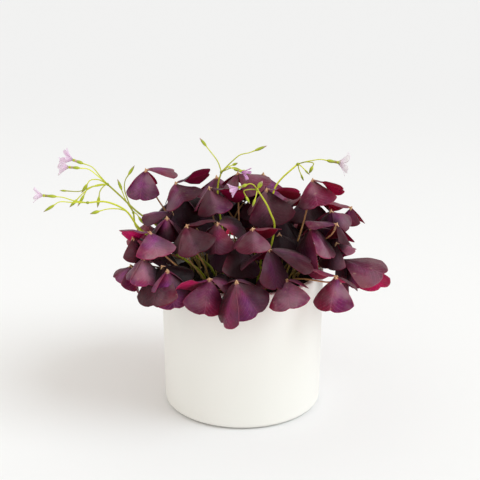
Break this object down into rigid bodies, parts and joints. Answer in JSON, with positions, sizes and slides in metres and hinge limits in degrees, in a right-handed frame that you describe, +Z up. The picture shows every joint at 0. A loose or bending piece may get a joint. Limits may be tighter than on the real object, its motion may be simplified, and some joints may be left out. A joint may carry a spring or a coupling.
{
  "type": "potted purple shamrock",
  "caption": "Purple shamrock in flower: a dome of dark purple three-part leaves and thin scapes with pale blooms, growing from soil in a plain white cylinder pot.",
  "frame": {"origin": "centre of the pot's flat underside, on the surface that it stands on", "axes": "+Z up along the pot's axis, -Y towards the front that the picture shows, +X to the right seen from the front"},
  "size_m": [0.3012, 0.222, 0.2356],
  "materials": {
    "pot": "satin white glaze",
    "soil": "dark loose potting soil",
    "leaf": "dark purple soft blades, crimson underneath",
    "petiole": "tan to olive leaf stalks",
    "scape": "yellow-green flower stalks and buds",
    "petal": "thin pale lilac-pink petals"
  },
  "bodies": {
    "root": {"bloom_1": "petal", "bloom_2": "petal", "bloom_3": "petal", "bloom_4": "petal", "bloom_5": "petal", "bloom_6": "petal", "leaf_08": "leaf", "leaf_10": "leaf", "leaf_11": "leaf", "leaf_13": "leaf", "leaf_14": "leaf", "leaf_16": "leaf", "leaf_17": "leaf", "leaf_18": "leaf", "leaf_20": "leaf", "leaf_21": "leaf", "leaf_22": "leaf", "leaf_24": "leaf", "leaf_25": "leaf", "leaf_26": "leaf", "leaf_27": "leaf", "leaf_30": "leaf", "leaf_31": "leaf", "leaf_32": "leaf", "leaf_33": "leaf", "leaf_34": "leaf", "leaf_40": "leaf", "leaf_42": "leaf", "leaf_43": "leaf", "leaf_46": "leaf", "leaf_48": "leaf", "leaf_50": "leaf", "leaf_56": "leaf", "petioles": "petiole", "pot": "pot", "scape_1": "scape", "scape_2": "scape", "scape_3": "scape", "scape_4": "scape", "scape_5": "scape", "scape_6": "scape", "soil": "soil"}
  },
  "joints": []
}
